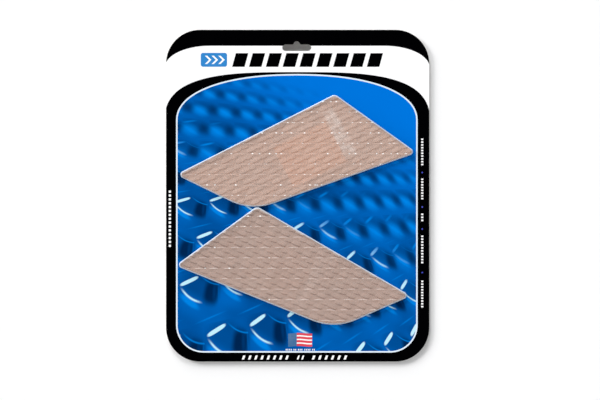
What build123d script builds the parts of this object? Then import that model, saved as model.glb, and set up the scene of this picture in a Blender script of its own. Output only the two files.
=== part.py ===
from build123d import *
import os
from math import cos, radians, sin

# A carded pair of stick-on traction pads, lying flat, in millimetres.
# +Z is up, +Y runs from the card's middle towards its hang slot, and the
# origin is the middle of the card's underside.

# Card: three plies glued together, die cut with a round-ended hang slot
CARD_WIDTH = 292.0
CARD_HEIGHT = 368.0
CARD_CORNER = 37.5
BACK_PLY = 0.15
CORE_PLY = 0.90
FACE_PLY = 0.15
CARD_TOP = BACK_PLY + CORE_PLY + FACE_PLY

SLOT_WIDTH = 32.0
SLOT_HEIGHT = 7.2
SLOT_DROP = 19.8  # slot's middle below the card's top edge
SLOT_SHIFT = -1.0  # slot's middle beside the card's middle
HUMP_RADIUS = 3.6
HUMP_RISE = 3.5  # hump's top above the slot's top
HUMP_FILLET = 2.0

# Pad outline, a four-cornered blade with one long round corner, the belly. The
# ridge side runs from the far tip to the crown, and the near side from there
# to the near tip.
RIDGE_SIDE = 197.5
NEAR_SIDE = 111.9
FAR_SIDE = 92.6
TIP_RADIUS = 4.0
CROWN_RADIUS = 6.5
BELLY_RADIUS = 62.0

# Layers of a pad, from the card up
TAPE_THICKNESS = 0.50
LINER_THICKNESS = 0.20
ADHESIVE_THICKNESS = 0.15
SKIN_BASE = 1.10
STUD_RISE = 0.90
SKIN_OVERHANG = 1.10  # clear skin past the liner under it, all round
SKIN_BEVEL = 0.55
STUD_MARGIN = 1.20  # outline of the studded field inside the skin's outline
BODY_GAP = 0.05  # between layers that come apart

LINER_BOTTOM = CARD_TOP + TAPE_THICKNESS + BODY_GAP
ADHESIVE_BOTTOM = LINER_BOTTOM + LINER_THICKNESS + BODY_GAP
SKIN_BOTTOM = ADHESIVE_BOTTOM + ADHESIVE_THICKNESS
STUD_BOTTOM = SKIN_BOTTOM + SKIN_BASE

# Mounting tape: one large patch under each pad's middle, a tab near each tip
SQUARE_LENGTH = 66.0
SQUARE_WIDTH = 50.0
SQUARE_RADIUS = 6.0
SQUARE_CENTRE = (142.8, -46.9)
TAB_LENGTH = 22.0
TAB_WIDTH = 12.0
TAB_RADIUS = 3.0
FAR_TAB_CENTRE = (44.0, -30.0)
NEAR_TAB_CENTRE = (208.0, -72.0)

# Each pad: where its far tip lies on the card, which way its ridge side runs,
# its hand, -1 for the mirror image, and its angles at the crown and the far tip
PADS = {
    "upper": {
        "tip": (-134.9, 23.2),
        "ridge_angle": 26.9,
        "hand": 1,
        "crown_angle": 117.6,
        "far_tip_angle": 52.8,
    },
    "lower": {
        "tip": (125.6, -111.2),
        "ridge_angle": -30.2,
        "hand": -1,
        "crown_angle": 113.8,
        "far_tip_angle": 53.8,
    },
}


def pad_plane(pad, height):
    """A pad's own plane at a height, with the pad's far tip at its origin and X along the ridge."""
    angle = radians(pad["ridge_angle"])
    across, along = pad["tip"]
    return Plane(origin=(across, along, height), x_dir=(cos(angle), sin(angle), 0), z_dir=(0, 0, 1))


def pad_corners(pad):
    """The outline's sharp corners on the pad's plane: far tip, crown, near tip and belly."""
    near_way = radians(180 + pad["crown_angle"])
    far_way = radians(-pad["far_tip_angle"])
    corners = [
        (0, 0),
        (RIDGE_SIDE, 0),
        (RIDGE_SIDE + NEAR_SIDE * cos(near_way), NEAR_SIDE * sin(near_way)),
        (FAR_SIDE * cos(far_way), FAR_SIDE * sin(far_way)),
    ]
    return [(pad["hand"] * x, y) for x, y in corners]


def pad_outline(pad, inset=0.0):
    """The pad's rounded outline as a sketch, drawn in by the inset."""
    corners = pad_corners(pad)
    radii = [TIP_RADIUS, CROWN_RADIUS, TIP_RADIUS, BELLY_RADIUS]
    with BuildSketch(Plane.XY, mode=Mode.PRIVATE) as blade:
        with BuildLine():
            Polyline(*corners, close=True)
        make_face()
        for corner, radius in zip(corners, radii):
            nearest = blade.vertices().sort_by_distance((corner[0], corner[1], 0))[0]
            fillet(nearest, radius)
        if inset:
            offset(amount=-inset)
    return blade.sketch


def card_ply(name, bottom, thickness):
    """One ply of the card: rounded corners, and the hang slot with its round hump."""
    with BuildPart() as ply:
        with BuildSketch(Plane.XY.offset(bottom)):
            RectangleRounded(CARD_WIDTH, CARD_HEIGHT, CARD_CORNER)
            with BuildSketch(mode=Mode.PRIVATE) as slot:
                SlotOverall(SLOT_WIDTH, SLOT_HEIGHT)
                with Locations((0, SLOT_HEIGHT / 2 + HUMP_RISE - HUMP_RADIUS)):
                    Circle(HUMP_RADIUS)
                waists = slot.vertices().filter_by(lambda v: abs(v.X) < HUMP_RADIUS * 1.05 and v.Y > 0)
                fillet(waists.group_by(Axis.Y)[0], HUMP_FILLET)
            with Locations((SLOT_SHIFT, CARD_HEIGHT / 2 - SLOT_DROP)):
                add(slot.sketch, mode=Mode.SUBTRACT)
        extrude(amount=thickness)
    ply.part.label = name
    export_step(ply.part, f"parts/{name}.step")


def flat_layer(name, pad, bottom, thickness, inset):
    """One flat layer of a pad, with the pad's outline drawn in by the inset."""
    with BuildPart() as layer:
        with BuildSketch(pad_plane(pad, bottom)):
            add(pad_outline(pad, inset))
        extrude(amount=thickness)
    layer.part.label = name
    export_step(layer.part, f"parts/{name}.step")


def grip_skin(name, pad):
    """The moulded clear skin: a bevelled base plate with the studded field standing on it."""
    with BuildPart() as skin:
        with BuildSketch(pad_plane(pad, SKIN_BOTTOM)):
            add(pad_outline(pad))
        extrude(amount=SKIN_BASE)
        chamfer(skin.faces().sort_by(Axis.Z)[-1].edges(), SKIN_BEVEL)
        with BuildSketch(pad_plane(pad, STUD_BOTTOM)):
            add(pad_outline(pad, STUD_MARGIN))
        extrude(amount=STUD_RISE)
    skin.part.label = name
    export_step(skin.part, f"parts/{name}.step")


def tape_patch(name, pad, centre, length, width, radius):
    """A rounded patch of double-sided tape between the card and a liner."""
    x, y = centre
    with BuildPart() as patch:
        with BuildSketch(pad_plane(pad, CARD_TOP)):
            with Locations((pad["hand"] * x, y)):
                RectangleRounded(length, width, radius)
        extrude(amount=TAPE_THICKNESS)
    patch.part.label = name
    export_step(patch.part, f"parts/{name}.step")


os.makedirs("parts", exist_ok=True)

card_ply("back_sheet", 0.0, BACK_PLY)
card_ply("board_core", BACK_PLY, CORE_PLY)
card_ply("printed_face_sheet", BACK_PLY + CORE_PLY, FACE_PLY)

for side, pad in PADS.items():
    tape_patch(f"{side}_tape_square", pad, SQUARE_CENTRE, SQUARE_LENGTH, SQUARE_WIDTH, SQUARE_RADIUS)
    tape_patch(f"{side}_tape_far_tab", pad, FAR_TAB_CENTRE, TAB_LENGTH, TAB_WIDTH, TAB_RADIUS)
    tape_patch(f"{side}_tape_near_tab", pad, NEAR_TAB_CENTRE, TAB_LENGTH, TAB_WIDTH, TAB_RADIUS)
    flat_layer(f"{side}_release_liner", pad, LINER_BOTTOM, LINER_THICKNESS, SKIN_OVERHANG)
    flat_layer(f"{side}_adhesive_film", pad, ADHESIVE_BOTTOM, ADHESIVE_THICKNESS, SKIN_OVERHANG)
    grip_skin(f"{side}_grip_skin", pad)
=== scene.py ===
"""Looks, lighting and camera for a carded pair of clear stick-on traction pads.

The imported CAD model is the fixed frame. The printed face sheet and the two
clear grip skins are rebuilt here in finer detail, and every other layer keeps
its CAD shape and gets its own procedural finish.
"""

import functools
import logging
import math
from dataclasses import dataclass, field
from enum import Enum, IntEnum
from typing import Sequence, Union

import bmesh
import bpy
import numpy as np
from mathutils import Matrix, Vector
from mathutils.geometry import delaunay_2d_cdt


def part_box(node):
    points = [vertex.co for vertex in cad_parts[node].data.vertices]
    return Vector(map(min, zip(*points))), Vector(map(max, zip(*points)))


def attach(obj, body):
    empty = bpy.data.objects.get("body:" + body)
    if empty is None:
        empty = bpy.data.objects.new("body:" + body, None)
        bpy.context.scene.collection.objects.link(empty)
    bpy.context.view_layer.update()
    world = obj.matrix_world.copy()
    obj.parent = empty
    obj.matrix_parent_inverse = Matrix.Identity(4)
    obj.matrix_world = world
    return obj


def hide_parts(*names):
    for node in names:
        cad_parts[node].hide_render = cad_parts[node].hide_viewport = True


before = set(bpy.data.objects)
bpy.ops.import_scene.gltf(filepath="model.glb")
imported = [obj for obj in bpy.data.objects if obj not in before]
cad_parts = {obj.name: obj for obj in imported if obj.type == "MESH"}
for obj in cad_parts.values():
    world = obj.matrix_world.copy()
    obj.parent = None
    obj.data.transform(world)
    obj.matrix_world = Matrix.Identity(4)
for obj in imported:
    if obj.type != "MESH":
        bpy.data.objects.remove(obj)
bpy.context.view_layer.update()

LOG = logging.getLogger("traction_pads")

MM = 0.001
Point = tuple[float, float]
Loop = list[Point]
Colour = tuple[float, float, float]
Socket = bpy.types.NodeSocket
Value = Union[float, Socket]


def srgb(red: int, green: int, blue: int) -> Colour:
    """Turn a display colour from 0 to 255 into the linear colour that shaders use.

    Args:
        red: Red from 0 to 255.
        green: Green from 0 to 255.
        blue: Blue from 0 to 255.

    Returns:
        The linear colour, each part from 0 to 1.
    """
    parts = [value / 255 for value in (red, green, blue)]
    return tuple(v / 12.92 if v <= 0.04045 else ((v + 0.055) / 1.055) ** 2.4 for v in parts)


# ---------------------------------------------------------------- shader pen


class NodePen:
    """Draws shader nodes into one node tree, so that a finish reads as a few lines."""

    MIX_COLOUR_INPUTS = (6, 7)
    MIX_COLOUR_OUTPUT = 2

    def __init__(self, tree: bpy.types.NodeTree) -> None:
        """Keep the tree to draw in.

        Args:
            tree: The node tree of a material, a world or a node group.
        """
        self.tree = tree

    def node(self, kind: str, **settings: object) -> bpy.types.Node:
        """Add a node and set its properties.

        Args:
            kind: The node's type, without the leading "ShaderNode".
            settings: Properties to set on the node.

        Returns:
            The new node.
        """
        made = self.tree.nodes.new(f"ShaderNode{kind}")
        for name, value in settings.items():
            setattr(made, name, value)
        return made

    def feed(self, socket: Socket, value: object) -> None:
        """Link a socket to another, or set its own value.

        Args:
            socket: The input to feed.
            value: An output socket, a number, or a colour of three or four parts.
        """
        if isinstance(value, Socket):
            self.tree.links.new(value, socket)
        elif socket.type == "RGBA" and len(value) == 3:
            socket.default_value = (*value, 1.0)
        else:
            socket.default_value = value

    def math(self, operation: str, *values: Value, clamp: bool = False) -> Socket:
        """Add a Math node.

        Args:
            operation: The node's operation, such as "ADD".
            values: What feeds its inputs in turn.
            clamp: Whether the result is kept between 0 and 1.

        Returns:
            The node's output.
        """
        made = self.node("Math", operation=operation, use_clamp=clamp)
        for socket, value in zip(made.inputs, values):
            self.feed(socket, value)
        return made.outputs[0]

    def mix(self, factor: Value, first: object, second: object, blend: str = "MIX") -> Socket:
        """Mix two colours.

        Args:
            factor: How much of the second colour shows.
            first: The colour at 0.
            second: The colour at 1.
            blend: The way in which the two are blended.

        Returns:
            The mixed colour's socket.
        """
        made = self.node("Mix", data_type="RGBA", blend_type=blend)
        self.feed(made.inputs[0], factor)
        for index, colour in zip(self.MIX_COLOUR_INPUTS, (first, second)):
            self.feed(made.inputs[index], colour)
        return made.outputs[self.MIX_COLOUR_OUTPUT]

    def smooth(
        self, value: Value, low: Value, high: Value, start: Value = 0.0, end: Value = 1.0
    ) -> Socket:
        """Ease a value from one range to another.

        Args:
            value: What is mapped.
            low: Where the easing begins.
            high: Where it ends.
            start: The result at and below low.
            end: The result at and above high.

        Returns:
            The eased value's socket.
        """
        made = self.node("MapRange", interpolation_type="SMOOTHSTEP")
        for index, given in enumerate((value, low, high, start, end)):
            self.feed(made.inputs[index], given)
        return made.outputs[0]

    def noise(
        self, scale: Value, detail: float = 3.0, roughness: float = 0.5, vector: object = None
    ) -> Socket:
        """Add a noise texture in the object's own space.

        Args:
            scale: Lumps to the metre.
            detail: Octaves of finer noise.
            roughness: How strong the finer octaves are.
            vector: Where it is read, or None for the object's own coordinates.

        Returns:
            The noise value's socket.
        """
        made = self.node("TexNoise")
        self.feed(made.inputs["Vector"], vector or self.place())
        self.feed(made.inputs["Scale"], scale)
        self.feed(made.inputs["Detail"], detail)
        self.feed(made.inputs["Roughness"], roughness)
        return made.outputs[0]

    def place(self, stretch: tuple[float, float, float] = (1.0, 1.0, 1.0), turn: float = 0.0) -> Socket:
        """The object's own coordinates, stretched and turned about Z.

        Args:
            stretch: Scale along each axis.
            turn: Turn about Z in radians.

        Returns:
            The coordinates' socket.
        """
        where = self.node("TexCoord")
        mapped = self.node("Mapping")
        mapped.inputs["Scale"].default_value = stretch
        mapped.inputs["Rotation"].default_value = (0.0, 0.0, turn)
        self.tree.links.new(where.outputs["Object"], mapped.inputs["Vector"])
        return mapped.outputs[0]

    def group(self, tree: bpy.types.NodeTree, **values: Value) -> bpy.types.Node:
        """Place a node group and feed its named inputs.

        Args:
            tree: The node group.
            values: What feeds each input, with spaces in its name written as underscores.

        Returns:
            The group node.
        """
        made = self.node("Group", node_tree=tree)
        for name, value in values.items():
            self.feed(made.inputs[name.replace("_", " ")], value)
        return made

    def bump(self, height: Socket, distance: float, strength: float = 1.0) -> Socket:
        """Turn a height into a surface normal.

        Args:
            height: The height's socket.
            distance: How far the surface moves for a height of 1, in metres.
            strength: How much of the bump shows.

        Returns:
            The normal's socket.
        """
        made = self.node("Bump")
        made.inputs["Strength"].default_value = strength
        made.inputs["Distance"].default_value = distance
        self.feed(made.inputs["Height"], height)
        return made.outputs[0]


def new_group(
    name: str, inputs: dict[str, float], outputs: Sequence[str]
) -> tuple[bpy.types.NodeTree, NodePen, bpy.types.Node, bpy.types.Node]:
    """Start a shader node group with plain number sockets.

    Args:
        name: The group's name.
        inputs: Each input's name and its default value.
        outputs: The outputs' names.

    Returns:
        The group, a pen for it, its input node and its output node.
    """
    tree = bpy.data.node_groups.new(name, "ShaderNodeTree")
    for label, value in inputs.items():
        made = tree.interface.new_socket(name=label, in_out="INPUT", socket_type="NodeSocketFloat")
        made.default_value = value
    for label in outputs:
        tree.interface.new_socket(name=label, in_out="OUTPUT", socket_type="NodeSocketFloat")
    pen = NodePen(tree)
    return tree, pen, tree.nodes.new("NodeGroupInput"), tree.nodes.new("NodeGroupOutput")


@functools.lru_cache(maxsize=None)
def fibre_group() -> bpy.types.NodeTree:
    """Paper and board fibre: a cloudy tone, and a height of short crossed fibres.

    Returns:
        The node group.
    """
    inputs = {"Scale": 900.0, "Cloud Scale": 60.0}
    tree, pen, given, out = new_group("paper_fibre", inputs, ("Tone", "Height"))
    scale = given.outputs["Scale"]
    along = pen.noise(scale, 4.0, 0.6, pen.place((1.0, 0.16, 1.0), 0.5))
    across = pen.noise(scale, 4.0, 0.6, pen.place((0.16, 1.0, 1.0), 0.9))
    cloud = pen.noise(given.outputs["Cloud Scale"], 5.0, 0.6)
    crossed = pen.math("MAXIMUM", along, across)
    pen.feed(out.inputs["Height"], pen.smooth(crossed, 0.42, 0.72))
    tone = pen.math("ADD", pen.math("MULTIPLY", cloud, 0.6), pen.math("MULTIPLY", crossed, 0.4))
    pen.feed(out.inputs["Tone"], pen.smooth(tone, 0.35, 0.65))
    return tree


@functools.lru_cache(maxsize=None)
def scuff_group() -> bpy.types.NodeTree:
    """Handling marks: fine scratches one way and a light film of dust.

    Returns:
        The node group.
    """
    inputs = {"Scale": 120.0, "Amount": 0.5}
    tree, pen, given, out = new_group("handling_scuffs", inputs, ("Scratch", "Dust"))
    streaks = pen.noise(given.outputs["Scale"], 6.0, 0.7, pen.place((1.0, 0.05, 1.0), 0.62))
    patches = pen.noise(14.0, 2.0, 0.5)
    scratch = pen.math("MULTIPLY", pen.smooth(streaks, 0.60, 0.72), pen.smooth(patches, 0.42, 0.62))
    pen.feed(out.inputs["Scratch"], pen.math("MULTIPLY", scratch, given.outputs["Amount"]))
    specks = pen.noise(2600.0, 1.0, 0.4)
    dust = pen.math("ADD", pen.smooth(specks, 0.70, 0.78), pen.math("MULTIPLY", patches, 0.25))
    pen.feed(out.inputs["Dust"], pen.math("MULTIPLY", dust, given.outputs["Amount"]))
    return tree


# ------------------------------------------------------------------ finishes


@dataclass(frozen=True)
class Finish:
    """A surface finish: what every finish has, and how its material is started."""

    name: str
    colour: Colour

    def start(self) -> tuple[bpy.types.Material, NodePen, bpy.types.Node]:
        """Make the material with one Principled shader.

        Returns:
            The material, a pen for its tree, and the shader.
        """
        material = bpy.data.materials.new(self.name)
        material.use_nodes = True
        pen = NodePen(material.node_tree)
        shader = material.node_tree.nodes["Principled BSDF"]
        shader.inputs["Base Color"].default_value = (*self.colour, 1.0)
        material.diffuse_color = (*self.colour, 1.0)
        return material, pen, shader

    def material(self) -> bpy.types.Material:
        """Build the material. Each finish says how."""
        raise NotImplementedError


@dataclass(frozen=True)
class InkFinish(Finish):
    """Offset ink under a thin satin varnish, on coated paper."""

    roughness: float = 0.42
    specular: float = 0.25
    mottle: float = 0.05

    def material(self) -> bpy.types.Material:
        """Build the printed surface.

        Returns:
            The material.
        """
        material, pen, shader = self.start()
        shader.inputs["Specular IOR Level"].default_value = self.specular
        fibre = pen.group(fibre_group(), Scale=1100.0, Cloud_Scale=45.0)
        scuff = pen.group(scuff_group(), Scale=90.0, Amount=0.5)
        lighter = tuple(part + (0.9 - part) * self.mottle for part in self.colour)
        worn = tuple(part + (0.8 - part) * self.mottle * 2 for part in self.colour)
        tone = pen.mix(fibre.outputs["Tone"], self.colour, lighter)
        pen.feed(shader.inputs["Base Color"], pen.mix(scuff.outputs["Scratch"], tone, worn))
        gloss = pen.math("MULTIPLY_ADD", fibre.outputs["Tone"], 0.10, self.roughness - 0.05)
        dust = pen.math("MULTIPLY", scuff.outputs["Dust"], 0.12)
        pen.feed(shader.inputs["Roughness"], pen.math("ADD", gloss, dust))
        pen.feed(shader.inputs["Normal"], pen.bump(fibre.outputs["Height"], 4e-6, 0.4))
        return material


@dataclass(frozen=True)
class ArtworkFinish(Finish):
    """The printed window: a close view over rows of glossy blue studs, blurring with distance.

    The rows lie on a plane seen in perspective. Each of the three weights gives a share of X, of Y
    and a constant, and the place along a row and up the rows are divided by the nearness.
    """

    along_weights: Colour = (30.1, 1.9, 4.10)
    upward_weights: Colour = (-1.2, 32.1, 0.07)
    near_weights: Colour = (-1.48, -2.91, 1.0)
    cell_start: Point = (-0.08, -0.80)
    dark: Colour = srgb(0, 22, 56)
    shade: Colour = srgb(0, 60, 120)
    sheet: Colour = srgb(0, 94, 178)
    haze: Colour = srgb(0, 116, 219)
    lit: Colour = srgb(0, 104, 194)
    bright: Colour = srgb(0, 136, 234)
    glint: Colour = srgb(190, 232, 246)
    gleam: Colour = srgb(40, 168, 240)

    def weighted(self, pen: NodePen, place: Sequence[Socket], weights: Colour) -> Socket:
        """Add up X, Y and a constant by their weights.

        Args:
            pen: The material's pen.
            place: The X and Y sockets.
            weights: The weight of X, the weight of Y, and the constant.

        Returns:
            The sum's socket.
        """
        total = pen.math("MULTIPLY_ADD", place[0], weights[0], weights[2])
        return pen.math("MULTIPLY_ADD", place[1], weights[1], total)

    def lattice(self, pen: NodePen) -> tuple[Socket, ...]:
        """Lay staggered rows of cells over the card in perspective.

        Args:
            pen: The material's pen.

        Returns:
            A place's X and Y in its cell, the place along the row, and the nearness.
        """
        where = pen.node("SeparateXYZ")
        pen.feed(where.inputs[0], pen.place())
        place = where.outputs[:2]
        near = self.weighted(pen, place, self.near_weights)
        along = pen.math("DIVIDE", self.weighted(pen, place, self.along_weights), near)
        upward = pen.math("DIVIDE", self.weighted(pen, place, self.upward_weights), near)
        left, foot = self.cell_start
        raised = pen.math("SUBTRACT", upward, foot)
        row = pen.math("FLOOR", raised)
        stagger = pen.math("MULTIPLY", pen.math("FLOORED_MODULO", row, 2.0), 0.5)
        moved = pen.math("SUBTRACT", pen.math("ADD", along, stagger), left)
        cell_x = pen.math("ADD", pen.math("FLOORED_MODULO", moved, 1.0), left)
        cell_y = pen.math("ADD", pen.math("SUBTRACT", raised, row), foot)
        return cell_x, cell_y, along, near

    def spot(
        self,
        pen: NodePen,
        cell: Sequence[Socket],
        centre: Point,
        size: Point,
        turn: float,
        soft: Value,
        power: float = 2.0,
    ) -> Socket:
        """A soft-edged ellipse or rounded box in each cell.

        Args:
            pen: The material's pen.
            cell: The place's X and Y in its cell.
            centre: The spot's middle.
            size: Its half length and half width.
            turn: Its turn in degrees.
            soft: Half the width of its edge, as a share of its size.
            power: 2 for an ellipse, more for a rounded box.

        Returns:
            The mask, 1 inside.
        """
        cos, sin = math.cos(math.radians(turn)), math.sin(math.radians(turn))
        x = pen.math("WRAP", pen.math("SUBTRACT", cell[0], centre[0]), 0.5, -0.5)
        y = pen.math("SUBTRACT", cell[1], centre[1])
        along = pen.math("MULTIPLY_ADD", x, cos / size[0], pen.math("MULTIPLY", y, sin / size[0]))
        across = pen.math("MULTIPLY_ADD", y, cos / size[1], pen.math("MULTIPLY", x, -sin / size[1]))
        powers = [pen.math("POWER", pen.math("ABSOLUTE", part), power) for part in (along, across)]
        reach = pen.math("POWER", pen.math("ADD", *powers), 1 / power)
        return pen.smooth(reach, pen.math("SUBTRACT", 1.0, soft), pen.math("ADD", 1.0, soft), 1.0, 0.0)

    def arc(
        self,
        pen: NodePen,
        cell: Sequence[Socket],
        centre: Point,
        radius: float,
        width: Value,
    ) -> Socket:
        """A soft ring in each cell, to be cut to an arc by a spot.

        Args:
            pen: The material's pen.
            cell: The place's X and Y in its cell.
            centre: The ring's middle.
            radius: Its radius.
            width: Half its width.

        Returns:
            The mask, 1 on the ring's line.
        """
        x = pen.math("SUBTRACT", cell[0], centre[0])
        y = pen.math("SUBTRACT", cell[1], centre[1])
        reach = pen.math("SQRT", pen.math("MULTIPLY_ADD", x, x, pen.math("MULTIPLY", y, y)))
        off = pen.math("ABSOLUTE", pen.math("SUBTRACT", reach, radius))
        return pen.smooth(off, 0.0, width, 1.0, 0.0)

    def paint(self, pen: NodePen) -> Socket:
        """Paint one stud into each cell: its top, dark side, rims, glow and highlight.

        Args:
            pen: The material's pen.

        Returns:
            The picture's colour.
        """
        cell_x, cell_y, along, near = self.lattice(pen)
        cell = (cell_x, cell_y)
        blur = pen.smooth(near, 0.88, 1.18, 1.0, 0.0)
        sharp = pen.math("SUBTRACT", 1.0, blur)
        crisp = pen.smooth(sharp, 0.30, 0.95)
        shown = pen.smooth(near, 0.60, 0.86)
        soft = pen.math("MULTIPLY_ADD", blur, 0.60, 0.14)
        softer = pen.math("MULTIPLY_ADD", blur, 0.55, 0.42)

        def over(below: Socket, colour: Colour, strength: Value, *masks: Value) -> Socket:
            """Lay a colour over the picture where every mask shows it."""
            total = pen.math("MULTIPLY", shown, strength)
            for mask in masks:
                total = pen.math("MULTIPLY", total, mask)
            return pen.mix(total, below, colour)

        cloud = pen.smooth(pen.noise(14.0, 2.0), 0.35, 0.65)
        picture = pen.mix(cloud, self.colour, self.sheet)
        picture = pen.mix(pen.smooth(near, 0.55, 0.95, 0.9, 0.0), picture, self.haze)
        shadow = self.spot(pen, cell, (0.44, -0.10), (0.44, 0.27), -18, softer)
        picture = over(picture, self.shade, 0.60, shadow)
        halo = self.spot(pen, cell, (0.15, -0.38), (0.30, 0.17), -36, 0.9)
        picture = over(picture, self.lit, 0.55, halo)
        bloom = self.spot(pen, cell, (0.16, -0.34), (0.24, 0.22), -36, 0.9)
        picture = over(picture, self.bright, 0.62, bloom, blur)
        glow = self.spot(pen, cell, (0.17, -0.34), (0.23, 0.065), -40, softer)
        picture = over(picture, self.bright, pen.math("MULTIPLY_ADD", sharp, 0.35, 0.35), glow)
        line = self.spot(pen, cell, (0.62, -0.70), (0.26, 0.014), 9, 0.8)
        picture = over(picture, self.bright, 0.45, line, sharp)
        dark = self.spot(pen, cell, (0.70, -0.25), (0.22, 0.17), 68, softer, 3.0)
        picture = over(picture, self.dark, pen.math("MULTIPLY_ADD", sharp, 0.26, 0.58), dark)
        streak = self.spot(pen, cell, (0.77, -0.24), (0.17, 0.035), 78, 0.8)
        picture = over(picture, self.shade, 0.50, streak, sharp)
        edge = self.spot(pen, cell, (0.87, -0.27), (0.17, 0.012), 80, 0.9)
        picture = over(picture, self.sheet, 0.6, edge, sharp)
        rim = self.arc(pen, cell, (1.02, 0.56), 0.68, 0.024)
        cut = self.spot(pen, cell, (0.74, -0.03), (0.24, 0.08), -32, 0.5)
        picture = over(picture, self.bright, 0.65, rim, cut, sharp)
        crescent = self.arc(pen, cell, (0.62, 0.27), 0.69, pen.math("MULTIPLY_ADD", blur, 0.10, 0.034))
        cut = self.spot(pen, cell, (0.20, -0.26), (0.24, 0.07), -38, 0.5)
        spark = pen.mix(crisp, self.gleam, self.glint)
        picture = over(picture, spark, 1.0, crescent, cut, crisp)
        lean = pen.math("MULTIPLY_ADD", along, 0.025, 0.02)
        level = pen.math("SUBTRACT", cell_y, pen.math("MULTIPLY", cell_x, lean))
        bar = self.spot(pen, (cell_x, level), (0.21, 0.05), (0.215, 0.038), 13, soft, 3.0)
        picture = over(picture, self.bright, 0.9, bar, blur, pen.smooth(near, 0.86, 1.0))
        return over(picture, spark, 1.0, bar, crisp)

    def material(self) -> bpy.types.Material:
        """Build the printed picture.

        Returns:
            The material.
        """
        material, pen, shader = self.start()
        shader.inputs["Specular IOR Level"].default_value = 0.0
        fibre = pen.group(fibre_group(), Scale=1100.0, Cloud_Scale=45.0)
        pen.feed(shader.inputs["Base Color"], self.paint(pen))
        pen.feed(shader.inputs["Roughness"], pen.math("MULTIPLY_ADD", fibre.outputs["Tone"], 0.10, 0.36))
        pen.feed(shader.inputs["Normal"], pen.bump(fibre.outputs["Height"], 4e-6, 0.4))
        return material


@dataclass(frozen=True)
class BoardFinish(Finish):
    """Uncoated paper or grey board: cloudy pulp with flecks and felt-like fibre."""

    fleck: Colour = srgb(120, 108, 92)
    fleck_share: float = 0.35
    roughness: float = 0.85

    def material(self) -> bpy.types.Material:
        """Build the uncoated board.

        Returns:
            The material.
        """
        material, pen, shader = self.start()
        shader.inputs["Specular IOR Level"].default_value = 0.2
        fibre = pen.group(fibre_group(), Scale=700.0, Cloud_Scale=80.0)
        shade = tuple(part * 0.86 for part in self.colour)
        tone = pen.mix(fibre.outputs["Tone"], shade, self.colour)
        flecks = pen.smooth(pen.noise(1500.0, 1.0, 0.4), 0.66, 0.74, 0.0, self.fleck_share)
        pen.feed(shader.inputs["Base Color"], pen.mix(flecks, tone, self.fleck))
        rough = pen.math("MULTIPLY_ADD", fibre.outputs["Tone"], 0.1, self.roughness - 0.05)
        pen.feed(shader.inputs["Roughness"], rough)
        pen.feed(shader.inputs["Normal"], pen.bump(fibre.outputs["Height"], 2e-5, 0.5))
        return material


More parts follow.
